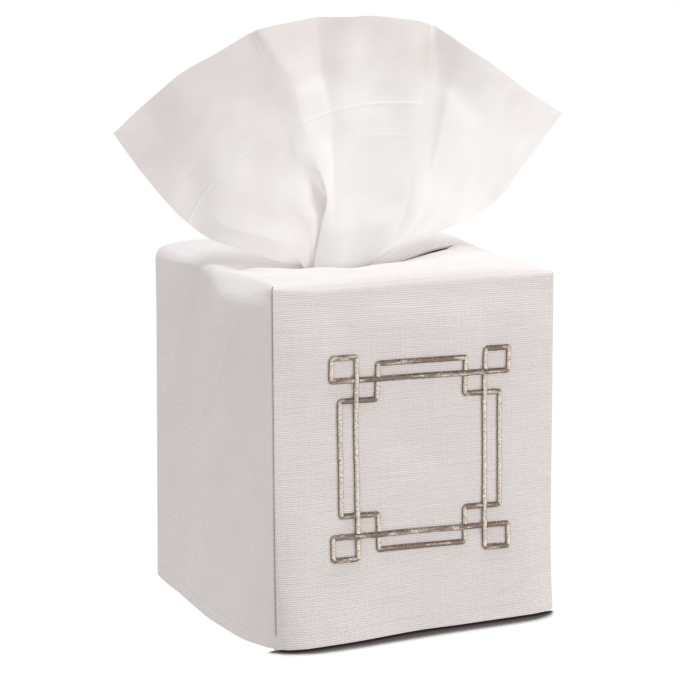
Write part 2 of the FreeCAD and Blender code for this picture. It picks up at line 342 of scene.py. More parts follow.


# Soft two-ply paper, a little light coming through it. It is lighter low down, partly denser gathered paper
# and partly painted light, with painted light towards the right and painted shade along the top but for its
# right end
def paper_tissue(name, pale, deep, through_share):
    look = new_look(name)
    place = look.node("TexCoord").outputs["UV"]
    crepe = look.noise(place, crepe_lumps, 2.0)
    cloud = look.noise(place, cloud_lumps, 3.0)
    fibre = look.noise(place, fibre_lumps, 3.0)
    bump = look.bump(look.weighted((crepe, 0.5), (fibre, 0.5)), 0.16, tissue_relief)
    spot = look.node("SeparateXYZ", {0: place})
    low = look.ranged(spot.outputs[1], painted_light_low, (1.0, 0.0))
    right = look.ranged(spot.outputs[0], painted_light_right, (0.0, 1.0))
    high = look.ranged(spot.outputs[1], painted_shade_high, (0.0, 1.0))
    inner = look.ranged(spot.outputs[0], painted_shade_right_end, (1.0, 0.0))
    # Painted light low down and to the right, painted shade high up; the cloud is random tone
    tone = look.weighted(
        (low, 0.5),
        (look.times(low, right), 0.2),
        (right, 0.3),
        (look.times(high, inner), -0.3),
        (cloud, 0.7),
    )
    middle_tone = 0.2
    tone = look.sums("SUBTRACT", tone, middle_tone, clamp=True)
    colour = look.blend(tone, deep, pale)
    face = look.node("BsdfDiffuse", {"Color": colour, "Normal": bump}).outputs[0]
    glow = look.node("BsdfTranslucent", {"Color": colour, "Normal": bump}).outputs[0]
    return look.done(look.mixed(through_share, face, glow))


# Thread: where the painted sheen on the crown of a stitch fades to painted shade at its ends, then lumps per
# metre and the tones they give: painted glints in dashes, and random flecks
painted_sheen_fade = (0.2, 0.46)
glint_dash_lumps = (150.0, 500.0, 800.0)
glint_dash_range = (0.5, 0.64)
glint_dash_tones = (0.1, 0.9)
fleck_lumps = (1500.0, 1500.0, 1500.0)
fleck_range = (0.34, 0.58)
fleck_tones = (0.4, 1.0)
shine_colour = (1.0, 0.94, 0.85, 1.0)


# Rayon embroidery thread with painted sheen: pale on the crown of upright lines and in dashes of painted
# glint on level ones, with painted shade at the ends
def thread(name, pale, deep, gloss_share):
    look = new_look(name)
    place = look.node("TexCoord")
    stitch = look.node("SeparateXYZ", {0: place.outputs["UV"]})
    off_crown = look.sums("ABSOLUTE", look.sums("SUBTRACT", stitch.outputs[1], 0.5), 0.0)
    painted_sheen = look.ranged(off_crown, painted_sheen_fade, (1.0, 0.0), smooth=True)
    painted_glint = look.ranged(look.noise(place.outputs["Object"], glint_dash_lumps, 2.0), glint_dash_range, glint_dash_tones)
    fleck = look.ranged(look.noise(place.outputs["Object"], fleck_lumps, 1.0), fleck_range, fleck_tones)
    tone = look.times(painted_sheen, look.sums("MAXIMUM", painted_glint, stitch.outputs[0]))
    tone = look.times(tone, fleck)
    body = look.node("BsdfDiffuse", {"Color": look.blend(tone, deep, pale)}).outputs[0]
    shine = look.node("BsdfGlossy", {"Color": shine_colour, "Roughness": 0.3}).outputs[0]
    return look.done(look.mixed(gloss_share, body, shine))


# Board and film: lumps per metre
mottle_lumps = (160.0, 160.0, 160.0)
board_fibre_lumps = (2400.0, 2400.0, 600.0)
board_relief = 0.1
ripple_lumps = (60.0, 120.0, 60.0)
ripple_relief = 0.8
film_colour = (0.9, 0.91, 0.92, 1.0)


def board(name, pale, deep):
    look = new_look(name)
    place = look.node("TexCoord").outputs["Object"]
    cloud = look.noise(place, mottle_lumps, 4.0)
    fibre = look.noise(place, board_fibre_lumps, 2.0)
    tone = look.weighted((cloud, 0.6), (fibre, 0.4))
    inputs = {
        "Base Color": look.blend(tone, deep, pale),
        "Roughness": 0.6,
        "Specular IOR Level": 0.3,
        "Normal": look.bump(fibre, 0.08, board_relief),
    }
    return look.principled(inputs)


def clear_film(name):
    look = new_look(name)
    place = look.node("TexCoord").outputs["Object"]
    ripple = look.noise(place, ripple_lumps, 2.0)
    inputs = {
        "Base Color": film_colour,
        "Roughness": 0.15,
        "Alpha": look.times(ripple, 0.5),
        "Normal": look.bump(ripple, 0.15, ripple_relief),
    }
    return look.principled(inputs)


linen_look = linen("linen", (0.87, 0.825, 0.81), (0.705, 0.65, 0.635), 1.0)
# The same linen again with its slub tone and relief turned down, for the top and the left side: painted soft
# light, where softer light shows less of the weave
painted_soft_light_linen = linen("linen_painted_soft_light", (0.84, 0.795, 0.78), (0.745, 0.69, 0.675), 0.4)
# The pale colour of the embroidery thread is its painted sheen
stitch_look = thread("embroidery_thread", (0.94, 0.845, 0.745), (0.165, 0.1, 0.076), 0.09)
# Both tissue materials carry the painted light and shade of paper_tissue
tissue_look = paper_tissue("tissue", (0.985, 0.975, 0.957), (0.83, 0.77, 0.755), 0.25)
stack_look = paper_tissue("tissue_stack", (0.92, 0.9, 0.88), (0.85, 0.83, 0.81), 0.1)
board_look = board("carton_board", (0.8, 0.79, 0.77), (0.7, 0.69, 0.67))
film_look = clear_film("film")

# Linen cover


def frame_box(node):
    return [np.array(corner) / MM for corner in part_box(node)]


front_low, front_high = frame_box("front_panel")
half = front_high[0]
foot = front_low[2]
cloth = 0.6

# Heights of the top, front half and back half, at these places across it
top_x = (-57.5, -50.0, -40.0, -20.0, 0.0, 20.0, 40.0, 50.0, 57.5)
front_y = (-57.5, -50.0, -30.0, -10.0, 0.0)
front_top = (
    (131.4, 131.7, 132.2, 133.0, 133.7, 134.0, 133.4, 132.4, 131.3),
    (131.8, 132.0, 132.6, 133.4, 134.0, 134.4, 133.8, 132.8, 131.6),
    (132.0, 132.0, 132.4, 132.8, 132.9, 133.5, 133.9, 133.5, 132.6),
    (131.8, 131.8, 132.0, 131.4, 131.1, 132.0, 134.4, 135.2, 134.3),
    (131.5, 131.5, 131.6, 130.6, 130.0, 131.0, 134.8, 136.4, 135.4),
)
back_y = (0.0, 3.0, 8.0, 16.0, 28.0, 45.0, 57.5)
back_top = (
    (131.5, 130.9, 130.2, 129.6, 129.4, 130.8, 136.0, 136.6, 135.4),
    (132.4, 132.4, 132.2, 131.9, 132.0, 133.2, 137.4, 137.2, 135.8),
    (132.8, 134.1, 134.5, 134.4, 134.6, 136.4, 138.6, 138.0, 136.4),
    (133.2, 135.4, 136.2, 136.4, 136.6, 138.2, 139.8, 139.2, 137.4),
    (133.4, 136.2, 137.4, 137.6, 137.8, 139.0, 140.2, 139.9, 138.3),
    (134.2, 137.0, 138.4, 139.0, 139.0, 139.4, 139.8, 139.2, 137.6),
    (136.2, 137.2, 137.8, 137.6, 137.4, 137.2, 136.8, 136.0, 134.2),
)
top_calm = 12.0
top_swell = 0.25

# The slit: half its opening, how the tissue pushes it wider, and how its lips close and bend down
slit_end = 47.0
slit_fade = 5.0
slit_open = 0.8
slit_push = 2.0
push_x = -6.0
push_reach = 19.0
slit_close = 6.0
lip_blend = 8.0
lip_drop = 0.55
lip_width = 1.6

# How far in and down the cloth turns over at the top edges, and at the front and back corners
edge_round = {"front": (5.0, 5.5), "right": (3.0, 3.0), "back": (5.0, 5.0), "left": (4.5, 6.5)}
corner_round = {"front": (1.5, 1.5), "back": (4.0, 6.0)}
# The left edge turns over less behind its middle, and changes over this far each way
left_back_round = (2.5, 1.8)
left_change = 10.0
# The shoulder of the left edge: how it comes and goes below its top, and where it starts along the edge
shoulder_top = 131.4
shoulder_drop = 8.0
shoulder_fade = 50.0
shoulder_out = 3.6
shoulder_start = -2.0
shoulder_reach = 30.0

# The upright corners, their sewn seams, and how two of them lean out
corner_tight = 1.0
corner_opening = 3.0
opening_height = 60.0
seam_depth = 0.9
seam_width = 0.3
seam_zone = 2.0
seam_fade = 1.5
seam_foot = 3.0
lean_start = 20.0
lean_reach = 35.0
left_lean_top = 0.5
left_lean_foot = 1.4
left_lean_height = 110.0
right_lean_foot = 1.3
right_lean_height = 32.0

# Places of the mesh points, close together at the edges and at the lips of the slit
edge_zone = 6.0
lip_zone = 3.0
edge_steps = np.array([0, 0.02, 0.08, 0.18, 0.34, 0.6, 0.95, 1.4, 2.0, 2.7, 3.6, 4.8])
lip_steps = np.array([0, 0.2, 0.45, 0.8, 1.3, 2.0])
inner_places = np.linspace(-half + edge_zone, half - edge_zone, 87)
half_inner = np.linspace(lip_zone, half - edge_zone, 42)
places = np.concatenate([edge_steps - half, inner_places, half - edge_steps[::-1]])
half_places = np.concatenate([lip_steps, half_inner, half - edge_steps[::-1]])


def top_height(x, y, back):
    if back:
        return net(back_y, top_x, back_top, y, x)
    return net(front_y, top_x, front_top, y, x)


def slit_gap(x):
    shape = slit_open + slit_push * bell(x - push_x, push_reach)
    return shape * eased((slit_end - np.abs(x)) / slit_close)


# 1 along most of a side, and 0 at both of its ends
def inside_ends(a, sharpness=6):
    return 1 - (np.abs(a) / half) ** sharpness


# How far the cloth drops at the rounded top edges, at places that may be near two of them
def edge_drop(x, y, side_x, side_y):
    drops = []
    for near, along, side in ((x, y, side_x), (y, x, side_y)):
        inward, down = edge_round[side]
        if side == "left":
            back_share = eased((y + left_change) / (2 * left_change))
            inward = blended(inward, left_back_round[0], back_share)
            down = blended(down, left_back_round[1], back_share)
        corner_in, corner_down = corner_round[side_y]
        middle = inside_ends(along, 4)
        inward = blended(corner_in, inward, middle)
        down = blended(corner_down, down, middle)
        share = 1 - np.clip((half - np.abs(near)) / inward, 0, 1)
        drops.append(down * (1 - np.sqrt(np.clip(1 - share**2, 0, 1))))
    return np.maximum(*drops)


# Rounds the corners of the plan, and sinks the sewn corner seam
def rounded_plan(x, y, size, seam):
    a = np.abs(x) - (half - size)
    b = np.abs(y) - (half - size)
    corner = (a > 0) & (b > 0)
    keep = np.where(corner, np.maximum(a, b) / np.maximum(np.hypot(a, b), tiny), 1)
    x = np.where(corner, np.sign(x) * (half - size + a * keep), x)
    y = np.where(corner, np.sign(y) * (half - size + b * keep), y)
    return x - np.sign(x) * seam, y - np.sign(y) * seam


def seam_sink(distance):
    return seam_depth * bell(distance, seam_width)


# The upright corners are tight, but for the front left one, which opens out towards the foot
def plan_round(x, y, z):
    opening = np.where((x < 0) & (y < 0), corner_opening, 0.0)
    return corner_tight + opening * fading(z - foot, opening_height) ** 2


def lean_share(a):
    return eased((a - lean_start) / lean_reach)


# Two corners lean out: the back left one all the way down, the front right one at the foot
def corner_lean(x, y, z):
    left = left_lean_top + left_lean_foot * fading(z - foot, left_lean_height)
    right = right_lean_foot * fading(z - foot, right_lean_height) ** 2
    return lean_share(x) * lean_share(-y) * right - lean_share(-x) * lean_share(y) * left


# How far the cloth stands out over the front half of the left edge, where it is pushed over the carton
def left_shoulder(a, z):
    below = shoulder_top - z
    rise = eased(below / shoulder_drop) * (1 - eased((below - shoulder_drop) / shoulder_fade))
    return shoulder_out * rise * eased((a - shoulder_start) / shoulder_reach) * inside_ends(a)


# One half of the top, from the slit to its front or back edge, bent down at its lip
def top_half(back):
    sign = 1 if back else -1
    side_y = "back" if back else "front"
    level = top_height(places, sign * half_places, back)
    other = top_height(places, np.zeros(1), not back)
    shut = eased((np.abs(places) - slit_end + slit_fade) / slit_fade)
    near = (1 - eased(half_places / lip_blend))[:, None]
    level = level + near * shut * (other[0] - level[0]) / 2
    x, step = np.meshgrid(places, half_places)
    gap = slit_gap(places)
    y = sign * (gap + step * (half - gap) / half)
    drop = np.where(x > 0, edge_drop(x, y, "right", side_y), edge_drop(x, y, "left", side_y))
    lip = lip_drop * (1 - eased(step / lip_width)) * (1 - shut)
    z = level - drop - lip
    ends_x = half - np.abs(x)
    ends_y = half - np.abs(y)
    at_edge = 1 - eased(np.minimum(ends_x, ends_y) / seam_fade)
    sink = seam_sink(ends_x - ends_y) * at_edge * (np.maximum(ends_x, ends_y) < seam_zone)
    plan_x, plan_y = rounded_plan(x, y, plan_round(x, y, z), sink)
    plan_x = plan_x + corner_lean(x, y, z) - np.where(x < -slit_end, left_shoulder(-y, z), 0)
    calm = eased(ends_x / top_calm) * eased(ends_y / top_calm)
    z = z + calm * top_swell * swells(x, y, wavelength=26, count=7, seed=3)
    return np.stack([plan_x, plan_y, z], -1), np.stack([x, y], -1)


# The top: two halves that meet outside the slit
def linen_top():
    back_points, back_uv = top_half(True)
    front_points, front_uv = top_half(False)
    front_index = point_numbers(*back_points.shape[:2])
    back_index = front_index + front_index.size
    shut = np.abs(places) >= slit_end
    back_index[0, shut] = front_index[-1, shut]
    faces = np.concatenate([grid_faces(front_index), grid_faces(back_index)])
    points = np.concatenate([front_points[::-1].reshape(-1, 3), back_points.reshape(-1, 3)])
    uv = np.concatenate([front_uv[::-1].reshape(-1, 2), back_uv.reshape(-1, 2)])
    used = np.unique(faces)
    order = np.full(len(points), -1)
    order[used] = np.arange(len(used))
    return mesh_piece("top_linen", points[used], order[faces], painted_soft_light_linen, uv[used])


top_linen = thicken(linen_top(), cloth)

# How far the foot of each side stands out, at places along it seen from outside
foot_swell = {
    "front": (
        (-57.5, -54.0, -48.0, -40.0, -24.0, -14.0, 0.0, 20.0, 40.0, 50.0, 57.5),
        (0.0, 2.2, 4.1, 4.3, 4.0, 2.9, 1.7, 1.9, 2.2, 1.7, 0.0),
    ),
    "right": ((-57.5, -40.0, -10.0, 20.0, 45.0, 57.5), (0.0, 1.6, 2.6, 2.4, 1.4, 0.0)),
    "back": ((-57.5, -40.0, -10.0, 20.0, 45.0, 57.5), (0.0, 1.8, 2.6, 2.8, 1.6, 0.0)),
    "left": (
        (-57.5, -50.0, -36.0, -20.0, -5.0, 11.0, 22.0, 33.0, 44.0, 52.0, 57.5),
        (0.0, 1.0, 2.7, 4.4, 5.8, 6.4, 6.2, 5.9, 4.6, 2.0, 0.0),
    ),
}
swell_height = 112.0
side_along = {"front": (1, 0), "right": (0, 1), "back": (-1, 0), "left": (0, -1)}
side_seed = {"front": 21, "right": 22, "back": 23, "left": 24}
# Each side has its own place on the cloth, so that no two have the same slubs
cloth_apart = 200
wall_calm = 14.0
wall_swell = 0.22
hem_line = 4.6
groove_depth = 0.1
groove_width = 0.45
fold_in = 0.35
fold_height = 0.7

# The front swells out under its top edge, and has a shallow dent over a swell in the middle of the motif
ridge_out = 1.3
ridge_height = 112.0
ridge_fade = 18.0
dent_depth = 1.0
dent_low = 56.0
dent_high = 71.5
dent_lip = 9.0
belly_out = 0.8
belly_low = 24.0
dent_middle = -1.0
dent_reach = 16.0

# Two creases pressed into the left side run up from one point, and fade at both ends
press_apex = (-10.6, 73.5)
press_arms = ((37.6, 120.0), (-49.0, 118.5))
press_out = 0.5
press_width = 0.9
press_start = 0.06
press_end = 0.1

# Heights of the mesh points, stretched above the straight ones to meet the top
hem_steps = [0, 0.12, 0.3, 0.7, 1.4, 2.4, 3.4, 4.0, 4.3, 4.6, 4.9, 5.2, 6.0, 7.2]
wall_steps = np.concatenate([hem_steps, np.linspace(9, 120, 75)])
straight_steps = 20.0


# How far places are from a line, and how far along it
def distance_to_line(a, z, start, end):
    run_a = end[0] - start[0]
    run_z = end[1] - start[1]
    t = np.clip(((a - start[0]) * run_a + (z - start[1]) * run_z) / (run_a**2 + run_z**2), 0, 1)
    return np.hypot(a - start[0] - t * run_a, z - start[1] - t * run_z), t


def front_form(a, z):
    ridge = bell(np.minimum(z - ridge_height, 0), ridge_fade)
    to_dent = eased((z - dent_low) / (dent_high - dent_low))
    dent = to_dent * (1 - eased((z - dent_high) / dent_lip))
    belly = eased((z - belly_low) / (dent_low - belly_low)) * (1 - to_dent)
    across = bell(a - dent_middle, dent_reach)
    return ridge_out * ridge + across * (belly_out * belly - dent_depth * dent)


def press_creases(a, z):
    total = 0
    for arm in press_arms:
        away, t = distance_to_line(a, z, press_apex, arm)
        fade = eased(t / press_start) * (1 + t) / 2 * eased((1 - t) / press_end)
        total = total + fade * press_out * bell(away, press_width)
    return total


# How far a side stands out from its flat plane
def side_out(side, a, z, wall_top):
    swell_places, swell_out = foot_swell[side]
    shape = np.reshape(through(swell_places, swell_out, np.ravel(a)), np.shape(a))
    out = shape * fading(z - foot, swell_height) ** 2
    calm = inside_ends(a) * eased((wall_top - z) / wall_calm)
    out = out + calm * wall_swell * swells(a, z, wavelength=34, count=6, seed=side_seed[side])
    out = out - groove_depth * bell(z - foot - hem_line, groove_width) * calm
    if side == "front":
        out = out + calm * front_form(a, z)
    if side == "left":
        out = out + left_shoulder(a, z) + calm * press_creases(a, z)
    return out


def side_point(side, a, out, z):
    along_x, along_y = side_along[side]
    x = along_x * a + along_y * (half + out)
    y = along_y * a - along_x * (half + out)
    return x, y, z


# The height where a side meets the top
def wall_top_of(side):
    tops = []
    for a in places:
        x, y, _ = side_point(side, a, 0, 0)
        side_x = "right" if x > 0 else "left"
        side_y = "back" if y > 0 else "front"
        level = top_height(np.array([x]), np.array([y]), y > 0)[0, 0]
        tops.append(level - edge_drop(x, y, side_x, side_y))
    return np.array(tops)


def linen_side(side):
    tops = wall_top_of(side)
    a, step = np.meshgrid(places, wall_steps)
    stretch = (tops - foot - straight_steps) / (wall_steps[-1] - straight_steps)
    scaled = straight_steps + (step - straight_steps) * stretch
    z = foot + np.where(step < straight_steps, step, scaled)
    out = side_out(side, a, z, tops)
    out = out - fold_in * (1 - eased(step / fold_height)) ** 2
    x, y, z = side_point(side, a, out, z)
    square_x, square_y, _ = side_point(side, a, 0, z)
    ends = half - np.abs(a)
    sink = seam_sink(ends) * (ends < seam_zone) * eased((z - foot - seam_foot) / seam_foot)
    plan_x, plan_y = rounded_plan(square_x, square_y, plan_round(square_x, square_y, z), sink)
    x = plan_x + (x - square_x) + corner_lean(square_x, square_y, z)
    y = plan_y + (y - square_y)
    uv = np.stack([a + cloth_apart * list(side_along).index(side), z], -1)
    # The left side gets the linen copy with painted soft light
    cloth_look = painted_soft_light_linen if side == "left" else linen_look
    return grid_piece(f"{side}_linen", np.stack([x, y, z], -1), cloth_look, uv)


side_linen = {side: thicken(linen_side(side), cloth) for side in side_along}

# Hems turned up inside, and the allowances of the corner seams
hem_height = 7.5
hem_lift = 0.2
hem_end = 1.8
seam_reach = 8.0
seam_end = 1.7
seam_low = 0.3
seam_top = 122.0
strip_edge = 1.6
lining = 0.5
lining_gap = 0.05
# The wall height that the hem, the seams and their stitches go by
inside_top = 130.0
long_strip = 20.0


# Points from end to end of a strip, more of them on a long one
def strip_places(low, high):
    return np.linspace(low, high, 40 if high - low > long_strip else 6)


def inside_strip(name, side, from_a, to_a, from_z, to_z):
    a, z = np.meshgrid(strip_places(from_a, to_a), strip_places(from_z, to_z))
    out = side_out(side, a, z, inside_top) - (cloth + lining_gap)
    a = np.clip(a, -half + strip_edge, half - strip_edge)
    x, y, z = side_point(side, a, out, z)
    x = x + corner_lean(x, y, z)
    strip = grid_piece(name, np.stack([x, y, z], -1), linen_look, np.stack([a, z], -1))
    return thicken(strip, lining)


hems = {}
for side in side_along:
    end = half - hem_end
    hems[side] = inside_strip(f"{side}_hem_fold", side, -end, end, foot + hem_lift, foot + hem_height)
seams = {}
seam_side = {
    "front_left": ("left", 1),
    "front_right": ("right", -1),
    "back_left": ("left", -1),
    "back_right": ("right", 1),
}
for name, (side, way) in seam_side.items():
    ends = sorted((way * (half - seam_end), way * (half - seam_end - seam_reach)))
    seams[name] = inside_strip(f"{name}_allowance", side, *ends, foot + hem_height + seam_low, seam_top)

facing_past = 2.5
facing_reach = 9.0
facing_gap = 0.1
facing_drop = 0.5
facing_cloth = 0.3


# Facing turned in under both lips of the slit
def slit_facing():
    places_x = np.linspace(-slit_end - facing_past, slit_end + facing_past, 90)
    reach = np.linspace(0, facing_reach, 8)
    patches = []
    for back in (False, True):
        sign = 1 if back else -1
        x, inward = np.meshgrid(places_x, reach)
        y = sign * (slit_gap(x) + facing_gap + inward)
        drop = facing_drop * (1 - eased(inward / lip_width))
        z = top_height(places_x, sign * reach, back) - cloth - facing_gap - drop
        grid = np.stack([x, y, z], -1)
        if not back:
            grid = grid[::-1]
        patches.append((grid, grid_faces(point_numbers(*x.shape)), grid[..., :2]))
    return thicken(joined_piece("slit_facing_cloth", patches, linen_look), facing_cloth)


facing = slit_facing()

# Running stitches of the hem
sewn_start = 3.0
sewn_stop = 4.0
sewn_pitch = 2.9
sewn_length = 2.1
sewn_spread = 0.08
sewn_radius = 0.13
sewn_rise = np.array([-0.14, 0.0, 0.05, 0.0, -0.14])


def running_stitches():
    n = len(sewn_rise)
    threads = []
    for side in side_along:
        for start in np.arange(-half + sewn_start, half - sewn_stop, sewn_pitch):
            a = start + np.linspace(0, sewn_length, n) + random.normal(0, sewn_spread)
            z = np.full(n, foot + hem_line) + random.normal(0, sewn_spread, n)
            out = side_out(side, a, z, inside_top) + sewn_rise
            x, y, z = side_point(side, a, out, z)
            line = np.stack([x + corner_lean(x, y, z), y, z], -1)
            threads.append((line, sewn_radius, 0.0))
    return threads


hem_stitches = thread_piece("hem_stitches", running_stitches(), painted_soft_light_linen)

# Embroidery

motif_right = 1.2
motif_up = 67.0
motif_drop = 1.8
motif_lift = 1.0
motif_top = 128.0
square_w = 26.4
square_h = 28.4
loop_w = 9.9
loop_h = 8.3
notch_w = 32.8
notch_h = 34.0
notch_in_w = 18.0
notch_in_h = 20.9
turn_radius = 0.9
turn_points = 9
path_spacing = 0.05

# One satin stitch, and how much stitches vary
stitch_width = 2.05
stitch_rise = 0.75
stitch_sunk = 0.12
stitch_round = 0.96
stitch_radius = 0.235
stitch_pitch = 0.36
stitch_slant = 14.0
slant_spread = 5.0
size_spread = 0.05
radius_spread = 0.06
# Where lines cross, the upper one is raised and the lower one left out
over_rise = 0.3
over_start = 1.0
over_reach = 2.2
loop_gap = 1.0
notch_gap = 0.9
shortest_run = 4


# A place on the front from the motif's centre; it is sewn a little low on its right, and taller there
def motif_place(right, above):
    drop = motif_drop / 2 * right / square_w
    lift = motif_lift * (right / square_w + 1) / 2 * max(above, 0) / square_h
    return motif_right + right, motif_up + above - drop + lift


# Points close together along a closed line with rounded corners
def rounded_path(corners):
    corners = [np.array(motif_place(*corner)) for corner in corners]
    t = np.linspace(0, 1, turn_points)[:, None]
    path = []
    for i, here in enumerate(corners):
        before = corners[i - 1] - here
        after = corners[(i + 1) % len(corners)] - here
        start = here + before / np.linalg.norm(before) * turn_radius
        end = here + after / np.linalg.norm(after) * turn_radius
        path.append((1 - t) ** 2 * start + 2 * t * (1 - t) * here + t**2 * end)
    path.append(path[0][:1])
    path = np.concatenate(path)
    length = np.concatenate([[0], np.cumsum(np.linalg.norm(np.diff(path, axis=0), axis=1))])
    at = np.arange(0, length[-1], path_spacing)
    return np.stack([np.interp(at, length, path[:, k]) for k in (0, 1)], -1)


# How far the nearest of several points is, to the side or up and down
def nearest(place, points):
    return min(max(abs(place[0] - p[0]), abs(place[1] - p[1])) for p in points)


# Satin stitches side by side across a path on the front
def satin(path, raised_at, left_out, gap):
    threads = []
    every = max(1, round(stitch_pitch / path_spacing))
    run = np.gradient(path, axis=0)
    run /= np.linalg.norm(run, axis=1)[:, None]
    q = np.linspace(-1, 1, 8)
    bow = np.sqrt(np.clip(1 - stitch_round * q**2, 0, 1))
    for i in range(every // 2, len(path), every):
        centre = path[i]
        if nearest(centre, left_out) < gap:
            continue
        slant = math.radians(stitch_slant + random.normal(0, slant_spread))
        side = np.array([-run[i][1], run[i][0]])
        across = side * math.cos(slant) + run[i] * math.sin(slant)
        width = stitch_width / 2 * random.normal(1, size_spread)
        flat = centre + across * (q * width)[:, None]
        rise = stitch_rise * random.normal(1, size_spread) * bow - stitch_sunk
        if raised_at:
            rise = rise + over_rise * eased(1 - (nearest(centre, raised_at) - over_start) / over_reach)
        out = side_out("front", flat[:, 0], flat[:, 1], motif_top) + rise
        line = np.stack(side_point("front", flat[:, 0], out, flat[:, 1]), -1)
        # How upright the stitch runs sets how much painted sheen it gets
        threads.append((line, stitch_radius * random.normal(1, radius_spread), run[i][1] ** 2))
    return threads


# Looped square: four long lines that run on past the corners and turn back in a square loop
def looped_corners():
    w, h, lw, lh = square_w, square_h, square_w + loop_w, square_h + loop_h
    return [
        (-w, -lh), (-w, lh), (-lw, lh), (-lw, h),
        (lw, h), (lw, lh), (w, lh), (w, -lh),
        (lw, -lh), (lw, -h), (-lw, -h), (-lw, -lh),
    ]


# Notched square: its corners step in, and it passes under the looped square
def notched_corners():
    w, h, iw, ih = notch_w, notch_h, notch_in_w, notch_in_h
    return [
        (-iw, h), (iw, h), (iw, ih), (w, ih), (w, -ih), (iw, -ih),
        (iw, -h), (-iw, -h), (-iw, -ih), (-w, -ih), (-w, ih), (-iw, ih),
    ]


upright_over = [motif_place(-square_w, square_h), motif_place(square_w, -square_h)]
level_over = [motif_place(square_w, square_h), motif_place(-square_w, -square_h)]
crossings = []
for way_x in (-1, 1):
    for way_y in (-1, 1):
        crossings.append(motif_place(way_x * square_w, way_y * notch_in_h))
        crossings.append(motif_place(way_x * notch_in_w, way_y * square_h))


# At two corners the upright line passes over, at the other two the level one
def looped_stitches():
    threads = []
    path = rounded_path(looped_corners())
    along = np.abs(np.gradient(path, axis=0))
    upright = along[:, 1] > along[:, 0]
    for part, left_out in ((upright, level_over), (~upright, upright_over)):
        for run in np.split(np.arange(len(part)), np.flatnonzero(np.diff(part)) + 1):
            if part[run[0]] and len(run) >= shortest_run:
                threads += satin(path[run], crossings + upright_over + level_over, left_out, loop_gap)
    return threads


looped_square = thread_piece("looped_square_stitches", looped_stitches(), stitch_look)
notched_stitches = satin(rounded_path(notched_corners()), [], crossings, notch_gap)
notched_square = thread_piece("notched_square_stitches", notched_stitches, stitch_look)

# Drawn tissue

# Fold lines of the sheet from left to right, as rows from the slit up to the top edge
fold_rows = (-2.0, -1.0, 0.0, 1.0, 2.0, 3.0, 4.0, 6.0, 8.0)
fold_net = {
    8: (
        (-89, 15, 182.5), (-77, 12, 193.5), (-65.5, 7, 204), (-52.5, 4, 211.5), (-41.5, 1, 218),
        (-36.5, -1.5, 220.5), (-23.5, 0.2, 223), (-11.5, 2.2, 225), (-1, -0.6, 225), (9.5, -1.5, 225.5),
        (19.5, -3, 224.5), (28, -4.8, 223.5), (33.5, -4.8, 222), (38.5, 0.4, 221.5), (48, -5.5, 214),
        (60, -6.5, 206.5), (77.5, -3.5, 196.5), (97.5, 3, 187),
    ),
    6: (
        (-76, 13, 164.5), (-68, 10, 174.5), (-59.5, 5, 183.5), (-49, 2.4, 190.5), (-35.5, 0.2, 197.5),
        (-25, -2.5, 203), (-17.5, -0.3, 205), (-10, 2.4, 206.5), (-2, -1, 208), (8, -1.8, 208.5),
        (17, -3.2, 209), (25.5, -5, 208), (32.5, -5, 206.5), (39.5, 2.6, 205.5), (46, -1, 199),
        (54.5, -4.2, 190.5), (67.5, -3, 181), (81.5, 3, 169),
    ),
    4: (
        (-63, 8, 149), (-57, 6, 159.5), (-50.5, 3.4, 168), (-41.5, 1.4, 175), (-29, -0.6, 181.5),
        (-20, -3.2, 185.5), (-14, -1.6, 187.5), (-7.5, 0.5, 189.5), (-2.5, -0.6, 190.5), (6.5, -1.8, 192),
        (15, -3, 192.5), (23, -4.6, 192.5), (30, -4.6, 192), (36.5, 1.4, 191), (41, -2.4, 184.5),
        (47, -4.5, 175.5), (55, -2.5, 164), (64.5, 2, 151.5),
    ),
    3: (
        (-55.5, 4.5, 143), (-51.5, 2, 148.5), (-44.5, 1, 156), (-36, -0.2, 162.5), (-25, -1.2, 168.5),
        (-15.5, -3.2, 172), (-11, -2, 173), (-6.5, 0.2, 173.5), (-2.5, -1, 175), (5.5, -2.2, 176),
        (14.5, -3.4, 176), (22, -4.8, 175.5), (26.5, -5, 174), (32, -1, 173), (36, -3, 167),
        (40.5, -4, 159.5), (47.5, -2, 151.5), (52, 1, 146),
    ),
    2: (
        (-45.5, -1.5, 139), (-37, -3.5, 143.5), (-32, -2.2, 148.5), (-27, -2.2, 152.5), (-19.5, -2.5, 155.5),
        (-11, -3.6, 158), (-9, -2.8, 156.5), (-6.5, -1.2, 155), (-3, -2.2, 157.5), (4.5, -3.4, 159),
        (13, -4.4, 158), (19, -5.6, 156), (23, -5.6, 153), (26, -3.5, 152), (31, -3.5, 150),
        (34.5, -3.2, 147.5), (38, -1.5, 144.5), (40, 1, 141.5),
    ),
    1: (
        (-33, -2.4, 134.5), (-26.5, -3.2, 139), (-22.5, -2.8, 142), (-19.5, -2.7, 145), (-15.5, -2.9, 146.5),
        (-13, -3.4, 146.5), (-11, -3.8, 144), (-8, -4, 143.5), (-4, -4.6, 144), (2, -5, 145),
        (8, -5.6, 145), (13, -6, 143), (16, -5.2, 140), (18, -3, 139.5), (21, -2.6, 139),
        (22.5, -2, 138.5), (24, -1, 138), (25, 0.5, 137),
    ),
    0: (
        (-20, 1, 130.5), (-19.5, -1.2, 131), (-17.5, -0.6, 130.5), (-16, -0.6, 131), (-14.5, -1, 131),
        (-15.5, -2, 131), (-13, -2.2, 130.5), (-9.5, -2, 130), (-5.5, -2, 130), (-1.5, -2, 129.5),
        (2, -2, 130), (5, -1.5, 130), (6.5, -1, 129.5), (7.5, 0, 129.5), (8, 0.8, 130),
        (8.5, 1.2, 129.5), (9.5, 1.5, 130), (10, 1.8, 130),
    ),
}
